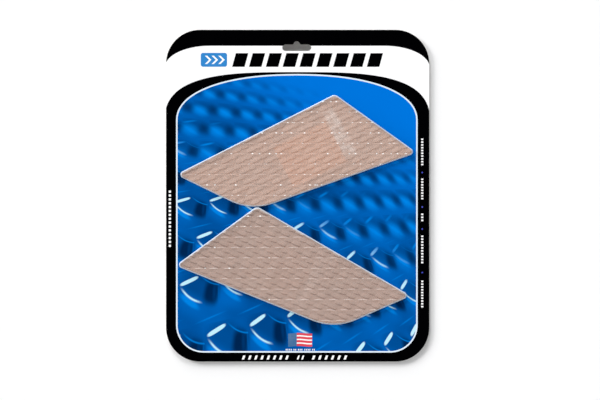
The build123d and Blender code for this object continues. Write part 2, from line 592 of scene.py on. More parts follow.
@dataclass(frozen=True)
class LinerFinish(Finish):
    """Brown release paper with a thin silicone coat, warmer where tape presses it up, and a paler
    blotchy band of painted sheen past the tape where the film lifts.
    """

    tape_centre: Point = (0.0, 0.0)
    tape_turn: float = 0.0
    tape_half: Point = (33 * MM, 25 * MM)
    tape_show: float = 1.0
    tape_edge: float = 1.5 * MM
    # Place, wobble and reach of the band of painted sheen past the tape's near end.
    band_begins: Point = (-2 * MM, 3 * MM)
    band_ends: Point = (10 * MM, 17 * MM)
    band_wobble: float = 16 * MM
    band_shift: float = 6 * MM
    band_halves: Point = (22 * MM, 34 * MM)
    painted_sheen: Colour = srgb(222, 196, 184)
    specular: float = 0.03

    def material(self) -> bpy.types.Material:
        """Build the release paper.

        Returns:
            The material.
        """
        material, pen, shader = self.start()
        shader.inputs["Specular IOR Level"].default_value = self.specular
        fibre = pen.group(fibre_group(), Scale=800.0, Cloud_Scale=70.0)
        scuff = pen.group(scuff_group(), Scale=70.0, Amount=0.6)
        shade = tuple(part * 0.88 for part in self.colour)
        tone = pen.mix(fibre.outputs["Tone"], shade, self.colour)
        patch = self.tape_patch(pen)
        warm = (self.colour[0] * 1.16, self.colour[1] * 1.0, self.colour[2] * 0.84)
        tone = pen.mix(pen.math("MULTIPLY", patch[0], self.tape_show), tone, warm)
        pale = tuple(part + (0.9 - part) * 0.20 for part in self.colour)
        # Paler blotchy band past the tape's near end: painted sheen where the film lifts off the liner.
        tone = pen.mix(pen.math("MULTIPLY", patch[1], self.tape_show), tone, self.painted_sheen)
        pen.feed(shader.inputs["Base Color"], pen.mix(scuff.outputs["Scratch"], tone, pale))
        pen.feed(shader.inputs["Roughness"], pen.math("MULTIPLY_ADD", fibre.outputs["Tone"], 0.15, 0.35))
        pen.feed(shader.inputs["Normal"], pen.bump(fibre.outputs["Height"], 1e-5, 0.4))
        return material

    def tape_patch(self, pen: NodePen) -> tuple[Socket, Socket]:
        """Masks for the taped patch and for the band of painted sheen beyond its near end.

        Args:
            pen: The material's pen.

        Returns:
            The patch's mask and the band's mask.
        """
        where = pen.node("SeparateXYZ")
        pen.feed(where.inputs[0], pen.place())
        x = pen.math("SUBTRACT", where.outputs[0], self.tape_centre[0])
        y = pen.math("SUBTRACT", where.outputs[1], self.tape_centre[1])
        cos, sin = math.cos(self.tape_turn), math.sin(self.tape_turn)
        along = pen.math("MULTIPLY_ADD", x, cos, pen.math("MULTIPLY", y, sin))
        across = pen.math("MULTIPLY_ADD", y, cos, pen.math("MULTIPLY", x, -sin))
        past_end = pen.math("SUBTRACT", pen.math("ABSOLUTE", along), self.tape_half[0])
        past_side = pen.math("SUBTRACT", pen.math("ABSOLUTE", across), self.tape_half[1])
        beyond = pen.math("MAXIMUM", past_end, past_side)
        inside = pen.smooth(beyond, -self.tape_edge, self.tape_edge, 1.0, 0.0)
        lumps = pen.noise(70.0, 3.0)
        wobble = pen.math("MULTIPLY_ADD", lumps, self.band_wobble, -self.band_wobble / 2)
        reach = pen.math("ADD", pen.math("SUBTRACT", along, self.tape_half[0]), wobble)
        near_side = pen.smooth(reach, *self.band_begins)
        far_side = pen.smooth(reach, *self.band_ends, 1.0, 0.0)
        off_middle = pen.math("ABSOLUTE", pen.math("ADD", across, -self.band_shift))
        ends = pen.smooth(off_middle, *self.band_halves, 1.0, 0.0)
        blotch = pen.smooth(pen.noise(150.0, 2.0), 0.40, 0.62, 0.35, 1.0)
        band = pen.math("MULTIPLY", pen.math("MULTIPLY", near_side, far_side), ends)
        return inside, pen.math("MULTIPLY", band, blotch)


@dataclass(frozen=True)
class ClearFinish(Finish):
    """Clear moulded plastic or adhesive: a fine orange-peel skin over whatever lies behind."""

    alpha: float = 0.3
    roughness: float = 0.16
    peel: float = 6e-6
    coat: float = 0.6
    index: float = 1.5

    def material(self) -> bpy.types.Material:
        """Build the clear layer.

        Returns:
            The material.
        """
        material, pen, shader = self.start()
        shader.inputs["Alpha"].default_value = self.alpha
        shader.inputs["IOR"].default_value = self.index
        shader.inputs["Coat Weight"].default_value = self.coat
        shader.inputs["Coat Roughness"].default_value = 0.06
        scuff = pen.group(scuff_group(), Scale=160.0, Amount=0.7)
        peel = pen.noise(1400.0, 2.0, 0.5)
        cloud = pen.smooth(pen.noise(90.0, 3.0), 0.3, 0.7)
        milky = tuple(part * 0.90 for part in self.colour)
        tone = pen.mix(cloud, milky, self.colour)
        pen.feed(shader.inputs["Base Color"], pen.mix(scuff.outputs["Dust"], tone, (0.95, 0.95, 0.93)))
        rough = pen.math("MULTIPLY_ADD", peel, 0.10, self.roughness - 0.05)
        scratched = pen.math("MULTIPLY", scuff.outputs["Scratch"], 0.2)
        pen.feed(shader.inputs["Roughness"], pen.math("ADD", rough, scratched))
        pen.feed(shader.inputs["Normal"], pen.bump(peel, self.peel, 0.8))
        return material


@dataclass(frozen=True)
class FoamFinish(Finish):
    """White foam tape: small closed cells, a little yellowed."""

    def material(self) -> bpy.types.Material:
        """Build the foam.

        Returns:
            The material.
        """
        material, pen, shader = self.start()
        cells = pen.node("TexVoronoi", feature="F1")
        pen.feed(cells.inputs["Vector"], pen.place())
        cells.inputs["Scale"].default_value = 2200.0
        pore = pen.smooth(cells.outputs["Distance"], 0.1, 0.6)
        yellow = (self.colour[0] * 0.95, self.colour[1] * 0.90, self.colour[2] * 0.76)
        tone = pen.mix(pen.smooth(pen.noise(50.0, 3.0), 0.35, 0.65), self.colour, yellow)
        # Darker at each cell's middle: painted shade in the foam's open pits.
        pen.feed(shader.inputs["Base Color"], pen.mix(pore, tuple(part * 0.8 for part in yellow), tone))
        pen.feed(shader.inputs["Roughness"], pen.math("MULTIPLY_ADD", pore, 0.1, 0.6))
        pen.feed(shader.inputs["Normal"], pen.bump(pore, 3e-5, 0.6))
        return material


@dataclass(frozen=True)
class FloorFinish(Finish):
    """Seamless pale studio paper."""

    def material(self) -> bpy.types.Material:
        """Build the studio paper.

        Returns:
            The material.
        """
        material, pen, shader = self.start()
        shader.inputs["Specular IOR Level"].default_value = 0.1
        grain = pen.noise(300.0, 3.0)
        shade = tuple(part * 0.985 for part in self.colour)
        pen.feed(shader.inputs["Base Color"], pen.mix(grain, shade, self.colour))
        pen.feed(shader.inputs["Roughness"], pen.math("MULTIPLY_ADD", grain, 0.05, 0.88))
        return material


# ------------------------------------------------------------ plane geometry


def cad_loops(node: str, at_top: bool) -> list[Loop]:
    """Read the outline loops of a CAD node's flat top or bottom face.

    Args:
        node: The node's name.
        at_top: Whether the top face is read, and not the bottom one.

    Returns:
        The closed anticlockwise loops, the widest first.
    """
    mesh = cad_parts[node].data
    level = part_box(node)[1 if at_top else 0][2]
    on_face = {v.index for v in mesh.vertices if abs(v.co.z - level) < 0.005 * MM}
    key = {i: (round(mesh.vertices[i].co.x, 7), round(mesh.vertices[i].co.y, 7)) for i in on_face}
    uses: dict[frozenset[Point], int] = {}
    for polygon in mesh.polygons:
        if all(i in on_face for i in polygon.vertices):
            ring = [key[i] for i in polygon.vertices]
            for a, b in zip(ring, ring[1:] + ring[:1]):
                uses[frozenset((a, b))] = uses.get(frozenset((a, b)), 0) + 1
    neighbours: dict[Point, list[Point]] = {}
    for edge, count in uses.items():
        if count == 1 and len(edge) == 2:
            a, b = edge
            neighbours.setdefault(a, []).append(b)
            neighbours.setdefault(b, []).append(a)
    loops = []
    while neighbours:
        loop = [min(neighbours)]
        while True:
            ahead = [p for p in neighbours[loop[-1]] if p not in loop[-2:]]
            if not ahead or ahead[0] == loop[0]:
                break
            loop.append(ahead[0])
        for point in loop:
            del neighbours[point]
        loops.append(loop if loop_area(loop) > 0 else loop[::-1])
    return sorted(loops, key=loop_area, reverse=True)


def loop_area(loop: Loop) -> float:
    """A loop's signed area, positive when it runs anticlockwise.

    Args:
        loop: The closed loop's points.

    Returns:
        The area in square metres.
    """
    return sum(a[0] * b[1] - b[0] * a[1] for a, b in zip(loop, loop[1:] + loop[:1])) / 2


def outward_normals(loop: Loop) -> list[Vector]:
    """Mitred outward directions at a loop's points, one unit of offset long.

    Args:
        loop: An anticlockwise closed loop.

    Returns:
        A direction for each point.
    """
    points = [Vector(p) for p in loop]
    sides = [(b - a).normalized() for a, b in zip(points, points[1:] + points[:1])]
    normals = [Vector((side.y, -side.x)) for side in sides]
    mitred = []
    for before, after in zip(normals[-1:] + normals[:-1], normals):
        middle = (before + after).normalized()
        mitred.append(middle / max(middle.dot(after), 0.5))
    return mitred


def shrink(loop: Loop, inset: float) -> Loop:
    """Draw a convex loop in by a distance.

    Args:
        loop: An anticlockwise closed loop.
        inset: How far it moves in, in metres.

    Returns:
        The smaller loop.
    """
    return [(p[0] - n.x * inset, p[1] - n.y * inset) for p, n in zip(loop, outward_normals(loop))]


def inside(loop: Loop, points: np.ndarray) -> np.ndarray:
    """Say which points lie inside a loop, by counting crossings.

    Args:
        loop: The closed loop.
        points: Points, one to a row.

    Returns:
        True for each point inside.
    """
    crossings = np.zeros(len(points), dtype=int)
    x, y = points[:, 0], points[:, 1]
    for (ax, ay), (bx, by) in zip(loop, loop[1:] + loop[:1]):
        if ay != by:
            spans = (ay > y) != (by > y)
            crossings += spans & (x < (bx - ax) * (y - ay) / (by - ay) + ax)
    return crossings % 2 == 1


def arc_points(centre: Point, radii: Point, start: float, end: float, steps: int) -> Loop:
    """Points along an elliptical arc.

    Args:
        centre: The arc's centre.
        radii: Its half widths along X and Y.
        start: Its first angle in degrees.
        end: Its last angle in degrees.
        steps: How many pieces it is cut into.

    Returns:
        The points, both ends included.
    """
    angles = [math.radians(start + (end - start) * i / steps) for i in range(steps + 1)]
    return [(centre[0] + radii[0] * math.cos(a), centre[1] + radii[1] * math.sin(a)) for a in angles]


def round_rectangle(centre: Point, size: Point, radius: float, steps: int = 6) -> Loop:
    """A rectangle with round corners, anticlockwise.

    Args:
        centre: Its middle.
        size: Its width and height.
        radius: Its corners' radius.
        steps: Pieces to each corner.

    Returns:
        The closed loop.
    """
    reach = (size[0] / 2 - radius, size[1] / 2 - radius)
    loop: Loop = []
    for quarter, (sx, sy) in enumerate(((1, 1), (-1, 1), (-1, -1), (1, -1))):
        corner = (centre[0] + sx * reach[0], centre[1] + sy * reach[1])
        loop += arc_points(corner, (radius, radius), 90 * quarter, 90 * quarter + 90, steps)
    return loop


def slanted_bar(left: float, width: float, bottom: float, top: float, slant: float) -> Loop:
    """A bar that leans like italic type.

    Args:
        left: The foot's left end.
        width: The bar's width.
        bottom: The foot's height.
        top: The head's height.
        slant: How far the head lies to the right of the foot.

    Returns:
        The closed loop.
    """
    return [(left, bottom), (left + width, bottom), (left + width + slant, top), (left + slant, top)]


def mesh_object(
    name: str, bm: bmesh.types.BMesh, materials: Sequence[bpy.types.Material]
) -> bpy.types.Object:
    """Turn a bmesh into an object in the scene.

    Args:
        name: The piece's name.
        bm: The bmesh, which is freed.
        materials: The object's materials in slot order.

    Returns:
        The new object.
    """
    mesh = bpy.data.meshes.new(name)
    bm.to_mesh(mesh)
    bm.free()
    for material in materials:
        mesh.materials.append(material)
    piece = bpy.data.objects.new(name, mesh)
    bpy.context.scene.collection.objects.link(piece)
    return piece


def dress(node: str, material: bpy.types.Material) -> None:
    """Give a CAD node a finish, leaving its shape alone.

    Args:
        node: The node's name.
        material: Its material.
    """
    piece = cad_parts[node]
    for slot in piece.material_slots:
        slot.link = "OBJECT"
        slot.material = material
    LOG.info("dressed %s with %s", node, material.name)


# ------------------------------------------------------------------ the card


class Ink(Enum):
    """What each printed patch of the face is covered with, in slot order."""

    PAPER = InkFinish("header_white", srgb(250, 250, 250), roughness=0.45, specular=0.10, mottle=0.02)
    BLACK = InkFinish("border_black", srgb(1, 1, 2), roughness=0.48, specular=0.0, mottle=0.0003)
    ARTWORK = ArtworkFinish("stud_artwork", srgb(0, 78, 152))
    KEYLINE = InkFinish("keyline_white", srgb(222, 234, 245), roughness=0.42, specular=0.02, mottle=0.03)
    EMBLEM = InkFinish("emblem_blue", srgb(28, 128, 200), roughness=0.42, specular=0.0, mottle=0.04)
    CORAL = InkFinish("tag_coral", srgb(220, 66, 80), roughness=0.42, specular=0.0, mottle=0.05)
    SLATE = InkFinish("tag_slate", srgb(64, 106, 150), roughness=0.42, specular=0.0, mottle=0.05)
    DOT = InkFinish("bullet_blue", srgb(60, 70, 190), roughness=0.42, specular=0.0, mottle=0.05)


@dataclass
class PrintedFace:
    """The card's printed face sheet, one flat sheet divided along the edges of its inks."""

    node: str = "printed_face_sheet"
    band_level: float = 166.3 * MM
    band_flat: float = 97 * MM
    band_corner: Point = (50 * MM, 24.4 * MM)
    band_middle: float = -0.5 * MM
    arch_middle: float = -0.4 * MM
    arch_half: float = 148 * MM
    arch_top: float = 137.1 * MM
    arch_drop: float = 65.8 * MM
    arch_power: float = 3.22
    window_middle: float = -0.9 * MM
    window_half: float = 134.0 * MM
    window_top: float = 135.0 * MM
    window_drop: float = 51.9 * MM
    window_power: float = 2.23
    window_foot: float = -174.1 * MM
    window_corner: float = 30.5 * MM
    keyline_width: float = 1.65 * MM
    dash_share: float = 0.56
    patches: list[tuple[Ink, Loop]] = field(default_factory=list)

    def hood(
        self, middle: float, half: float, top: float, drop: float, power: float, steps: int = 90
    ) -> Loop:
        """A flattened arch, from its right foot over the top to its left foot.

        Args:
            middle: Its middle along X.
            half: Half its width.
            top: Its crown's height.
            drop: How far its feet lie below the crown.
            power: How square its shoulders are, where 2 is an ellipse.
            steps: Pieces that it is cut into.

        Returns:
            The arch's points.
        """
        points = []
        for i in range(steps + 1):
            angle = math.pi * i / steps
            x, y = math.cos(angle), math.sin(angle)
            swell = (abs(x) ** power + abs(y) ** power) ** (-1 / power)
            points.append((middle + half * x * swell, top - drop + drop * y * swell))
        return points

    def window(self) -> Loop:
        """The keyline's outer edge: an arched head, straight sides and round lower corners."""
        head = self.hood(
            self.window_middle, self.window_half, self.window_top, self.window_drop, self.window_power
        )
        reach = self.window_half - self.window_corner
        level = self.window_foot + self.window_corner
        radii = (self.window_corner, self.window_corner)
        left = arc_points((self.window_middle - reach, level), radii, 180, 270, 16)
        right = arc_points((self.window_middle + reach, level), radii, 270, 360, 16)
        return head + left + right

    def band(self, beyond: float) -> Loop:
        """The black top band, down to its lower edge, which droops at both ends.

        Args:
            beyond: A height above the card.

        Returns:
            The closed loop.
        """
        level = self.band_level - self.band_corner[1]
        right = arc_points((self.band_middle + self.band_flat, level), self.band_corner, 0, 90, 20)
        left = arc_points((self.band_middle - self.band_flat, level), self.band_corner, 90, 180, 20)
        return right + left + [(left[-1][0], beyond), (right[0][0], beyond)]

    def row(
        self,
        ink: Ink,
        left: float,
        right: float,
        bottom: float,
        top: float,
        count: int,
        share: float,
        slant: float,
    ) -> None:
        """Add an even row of bars in place of a line of type.

        Args:
            ink: The bars' ink.
            left: Where the row begins.
            right: Where it ends.
            bottom: Its foot.
            top: Its head.
            count: How many bars it has.
            share: How much of each step its bar fills.
            slant: How far each head leans to the right.
        """
        step = (right - left) / count
        for i in range(count):
            self.patches.append((ink, slanted_bar(left + i * step, step * share, bottom, top, slant)))

    def column(
        self, ink: Ink, middle: float, top: float, bottom: float, width: float, count: int
    ) -> None:
        """Add an even column of dashes in place of a line of type that runs down a border.

        Args:
            ink: The dashes' ink.
            middle: The column's middle along X.
            top: Where it begins.
            bottom: Where it ends.
            width: The dashes' width.
            count: How many dashes it has.
        """
        step = (top - bottom) / count
        for i in range(count):
            head = top - i * step
            foot = head - step * self.dash_share
            self.patches.append((ink, slanted_bar(middle - width / 2, width, foot, head, 0.0)))

    def draw_header(self) -> None:
        """Add the plain emblem and the heavy slanted bars of the header."""
        centre, size = (-92.9 * MM, 150.7 * MM), (29.2 * MM, 15.4 * MM)
        self.patches.append((Ink.EMBLEM, round_rectangle(centre, size, 2.6 * MM)))
        for step in (-1, 0, 1):
            x, y = centre[0] + (step * 7.4 - 2.6) * MM, centre[1]
            arm, wide = 4.6 * MM, 2.6 * MM
            chevron = [
                (x, y - arm),
                (x + wide, y - arm),
                (x + wide + arm, y),
                (x + wide, y + arm),
                (x, y + arm),
                (x + arm, y),
            ]
            self.patches.append((Ink.PAPER, chevron))
        self.row(Ink.BLACK, -72.7 * MM, 95.4 * MM, 142.9 * MM, 158.1 * MM, 9, 0.74, 4.2 * MM)

    def draw_borders(self) -> None:
        """Add the dashes and bullets of the side borders and the foot."""
        self.column(Ink.PAPER, -141.8 * MM, 5.7 * MM, -58.7 * MM, 2.5 * MM, 15)
        right_line = 138.2 * MM
        words = (
            (63.4, 32.4, 10),
            (19.0, -5.4, 8),
            (-19.8, -29.8, 3),
            (-44.2, -76.4, 10),
            (-94.2, -125.3, 10),
        )
        for top, bottom, count in words:
            self.column(Ink.PAPER, right_line, top * MM, bottom * MM, 2.4 * MM, count)
        for (_, above, _), (below, _, _) in zip(words, words[1:]):
            dot = (right_line, (above + below) / 2 * MM)
            self.patches.append((Ink.DOT, arc_points(dot, (0.9 * MM, 0.9 * MM), 0, 330, 11)))
        for left, right, count in ((-62, -7, 8), (-1, 9, 2), (15.6, 58, 6)):
            self.row(Ink.PAPER, left * MM, right * MM, -181.8 * MM, -177.3 * MM, count, 0.36, 1.6 * MM)

    def draw_tag(self) -> None:
        """Add the small striped tag and its dashes at the window's foot."""
        left, right, top, stripes, step = -10.5 * MM, 16 * MM, -152.6 * MM, 4, 4.0 * MM
        stripe = 2.6 * MM
        depth = (stripes - 1) * step + stripe
        self.patches.append((Ink.PAPER, self.wave(left, right, top, depth)))
        for i in range(stripes):
            self.patches.append((Ink.CORAL, self.wave(left, right, top - i * step, stripe)))
        self.patches.append((Ink.SLATE, self.wave(left, left + 9.5 * MM, top, depth)))
        for start, count in ((-13.2, 4), (-4.6, 2), (0.4, 3), (7.4, 4), (16.0, 2)):
            end = (start + count * 1.9) * MM
            self.row(Ink.PAPER, start * MM, end, -171.8 * MM, -170.0 * MM, count, 0.52, 0.0)

    def wave(self, left: float, right: float, top: float, depth: float) -> Loop:
        """A strip with gently waving long edges.

        Args:
            left: Its left end.
            right: Its right end.
            top: Its upper edge's mean height.
            depth: Its depth.

        Returns:
            The closed loop.
        """
        xs = [left + (right - left) * i / 12 for i in range(13)]
        upper = [(x, top + 0.45 * MM * math.sin(x / (3.9 * MM) + 1.2)) for x in xs]
        return [(x, y - depth) for x, y in upper] + upper[::-1]

    def build(self) -> bpy.types.Object:
        """Divide the sheet along its inks, give it its thickness and put it on the card.

        Returns:
            The printed sheet.
        """
        outline, slot = cad_loops(self.node, at_top=True)
        low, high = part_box(self.node)
        beyond = high[1] + 5 * MM
        arch = self.hood(
            self.arch_middle, self.arch_half, self.arch_top, self.arch_drop, self.arch_power
        )
        below = [(arch[-1][0], -beyond), (arch[0][0], -beyond)]
        window = self.window()
        self.patches += [
            (Ink.BLACK, self.band(beyond)),
            (Ink.BLACK, arch + below),
            (Ink.KEYLINE, window),
            (Ink.ARTWORK, shrink(window, self.keyline_width)),
        ]
        self.draw_header()
        self.draw_borders()
        self.draw_tag()
        points: list[Vector] = []
        edges: list[tuple[int, int]] = []
        for loop in [outline, slot] + [patch for _, patch in self.patches]:
            first = len(points)
            points += [Vector(p) for p in loop]
            edges += [(first + i, first + (i + 1) % len(loop)) for i in range(len(loop))]
        flat, _, triangles, *_ = delaunay_2d_cdt(points, edges, [], 0, 1e-7)
        corners = np.array([p[:] for p in flat])
        centres = np.array([corners[list(t)].mean(axis=0) for t in triangles])
        keep = inside(outline, centres) & ~inside(slot, centres)
        inks = list(Ink)
        shown = np.zeros(len(centres), dtype=int)
        for ink, loop in self.patches:
            shown[inside(loop, centres)] = inks.index(ink)
        bm = bmesh.new()
        verts = [bm.verts.new((x, y, high[2])) for x, y in corners]
        for index, triangle in enumerate(triangles):
            if keep[index]:
                face = bm.faces.new([verts[i] for i in triangle])
                face.material_index = int(shown[index])
        bmesh.ops.delete(bm, geom=[v for v in bm.verts if not v.link_faces], context="VERTS")
        bmesh.ops.recalc_face_normals(bm, faces=bm.faces)
        if bm.faces[:][0].normal.z < 0:
            bmesh.ops.reverse_faces(bm, faces=bm.faces)
        piece = mesh_object("printed_face", bm, [ink.value.material() for ink in inks])
        depth = piece.modifiers.new("sheet_thickness", "SOLIDIFY")
        depth.thickness = high[2] - low[2]
        depth.offset = -1.0
        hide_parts(self.node)
        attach(piece, "card")
        LOG.info("printed face: %d patches, %d faces", len(self.patches), len(piece.data.polygons))
        return piece


@dataclass
class Card:
    """The die-cut hang card: printed face, grey board core and white back sheet."""

    face: PrintedFace = field(default_factory=PrintedFace)
    core: BoardFinish = BoardFinish("grey_board_core", srgb(176, 168, 154))
    back: BoardFinish = BoardFinish(
        "white_back_sheet",
        srgb(236, 233, 225),
        fleck=srgb(190, 180, 160),
        fleck_share=0.25,
        roughness=0.8,
    )

    def build(self) -> None:
        """Build the face and dress the two plies below it."""
        self.face.build()
        dress("board_core", self.core.material())
        dress("back_sheet", self.back.material())


# ------------------------------------------------------------------ the pads


@dataclass(frozen=True)
class Leaf:
    """One moulded stud: a slanted leaf with a steep lower side and a gentle back."""

    centre: Point
    half_length: float
    half_width: float
    turn: float
    rise: float
    slope_places: tuple[float, ...] = (-1.0, -0.74, 0.2, 1.0)
    slope_heights: tuple[float, ...] = (0.0, 1.0, 0.62, 0.0)

    def height(self, x: np.ndarray, y: np.ndarray) -> np.ndarray:
        """The leaf's height over the plane.

        Args:
            x: Distances from its cell's origin along X.
            y: Distances from its cell's origin along Y.

        Returns:
            The heights in metres, 0 outside it.
        """
        cos, sin = math.cos(math.radians(self.turn)), math.sin(math.radians(self.turn))
        away_x, away_y = x - self.centre[0], y - self.centre[1]
        across = (away_y * cos - away_x * sin) / self.half_width
        along = (away_x * cos + away_y * sin) / self.half_length
        taper = np.clip(1 - np.abs(along) ** 2.6, 0, 1) ** 0.6
        reach = across / np.maximum(0.35 + 0.65 * taper, 0.01)
        return self.rise * taper * np.interp(reach, self.slope_places, self.slope_heights)


@dataclass(frozen=True)
class Ledge:
    """A low step that runs along each row of cells, with a short steep upper side."""

    rise: float = 0.36 * MM
    swell: float = 0.75
    sag: float = 0.5 * MM
    places: tuple[float, ...] = (-2.8 * MM, 0.0, 0.75 * MM)
    heights: tuple[float, ...] = (0.0, 1.0, 0.0)
    glint_half: float = 0.85 * MM

    def height(self, x: np.ndarray, y: np.ndarray, pitch: float) -> np.ndarray:
        """The step's height over the plane.

        Args:
            x: Distances from its cell's origin along X.
            y: Distances from its cell's origin along Y.
            pitch: The cells' pitch along the row.

        Returns:
            The heights in metres.
        """
        way = (1 - np.cos(x * math.tau / pitch)) / 2
        profile = np.interp(y + self.sag * way, self.places, self.heights)
        return self.rise * (1 - self.swell * way) * profile


@dataclass
class StudPattern:
    """Leaning rows of cells, each with two slanted leaves and a stretch of ledge."""

    pitch: float = 16.1 * MM
    row_pitch: float = 11.54 * MM
    lean: float = 4.09 * MM
    rise: float = 0.9 * MM
    spread: float = 0.30
    wander: float = 0.7 * MM
    glint_wander: float = 1.8 * MM
    glint_swing: float = 50.0
    second_chance: float = 7.31
    chance_row: float = 12.9898
    chance_column: float = 78.233
    chance_scale: float = 437.585
    ledge: Ledge = Ledge()
    leaves: tuple[Leaf, Leaf] = (
        Leaf((-2.8 * MM, 4.5 * MM), 5.6 * MM, 2.7 * MM, 23.0, 0.70 * MM),
        Leaf((5.5 * MM, 8.2 * MM), 5.0 * MM, 2.6 * MM, 15.0, 0.60 * MM),
    )

    def cell(self, x: np.ndarray, y: np.ndarray, hand: int, steps: Point) -> tuple[np.ndarray, ...]:
        """Find the place in a cell near a place on the skin.

        Args:
            x: Places along X.
            y: Places along Y.
            hand: 1 for the right-hand pattern, -1 for its mirror image.
            steps: How many columns and rows away the cell lies.

        Returns:
            The places' X and Y in the cell, and the cell's own chance from 0 to 1.
        """
        row = np.round(y / self.row_pitch) + steps[1]
        shift = -self.lean * row
        column = np.round((x * hand - shift) / self.pitch) + steps[0]
        uneven = np.sin(row * self.chance_row + column * self.chance_column) * self.chance_scale
        own_x = x * hand - shift - column * self.pitch
        own_y = y - row * self.row_pitch
        return own_x, own_y, uneven - np.floor(uneven)

    def heights(self, x: np.ndarray, y: np.ndarray, hand: int) -> np.ndarray:
        """Stud height at places on the skin.

        Args:
            x: Places along X.
            y: Places along Y.
            hand: 1 for the right-hand pattern, -1 for its mirror image.

        Returns:
            The heights in metres.
        """
        highest = np.zeros(x.shape)
        for row_step in (-1, 0):
            for column_step in (-1, 0, 1):
                away_x, away_y, chance = self.cell(x, y, hand, (column_step, row_step))
                moved = away_y + self.wander * (chance - 0.5)
                for leaf in self.leaves:
                    stud = (1 - self.spread * chance) * leaf.height(away_x, moved)
                    highest = np.maximum(highest, stud)
        own_x, own_y, _ = self.cell(x, y, hand, (0, 0))
        return highest + self.ledge.height(own_x, own_y, self.pitch)

    def glints(self, x: np.ndarray, y: np.ndarray, hand: int, share: np.ndarray) -> np.ndarray:
        """Where glints are painted on the ledge's steep side: short facets, twice to a pitch, picked by
        chance.

        Args:
            x: Places along X.
            y: Places along Y.
            hand: 1 for the right-hand pattern, -1 for its mirror image.
            share: How many of the facets get a painted glint at each place, from 0 to 1.

        Returns:
            True for each place on a facet that gets a painted glint.
        """
        own_x, own_y, chance = self.cell(x, y, hand, (0, 0))
        half_pitch = self.pitch / 2
        in_middle = np.abs(own_x) < half_pitch / 2
        own_chance = np.where(in_middle, chance, (chance * self.second_chance) % 1)
        moved_x = own_x + self.glint_wander * np.sin(own_chance * self.glint_swing)
        off = np.abs(moved_x - np.round(moved_x / half_pitch) * half_pitch)
        on_ledge = (own_y > 0) & (own_y < self.ledge.places[-1]) & (off < self.ledge.glint_half)
        return on_ledge & (own_chance < share)


class SkinPart(IntEnum):
    """The skin's faces by their finish, in slot order. Faces that lean towards +Y carry a painted
    highlight and faces that lean away carry painted shade; the glint facets carry painted glints and the
    bevel a painted rim highlight.
    """

    CLEAR = 0
    LIT_EDGE = 1
    UNDER = 2
    LIT_CREST = 3
    SHADED_FLANK = 4
    GLINT = 5


# The upper pad's fainter painted highlight and painted shade.
UPPER_LIT_CREST = ClearFinish(
    "soft_painted_highlight", (0.93, 0.78, 0.72), alpha=0.24, roughness=0.08, peel=6e-6, coat=1.0
)
UPPER_SHADED_FLANK = ClearFinish(
    "soft_painted_shade", (0.66, 0.50, 0.44), alpha=0.18, roughness=0.30, peel=6e-6, coat=0.0, index=1.15
)


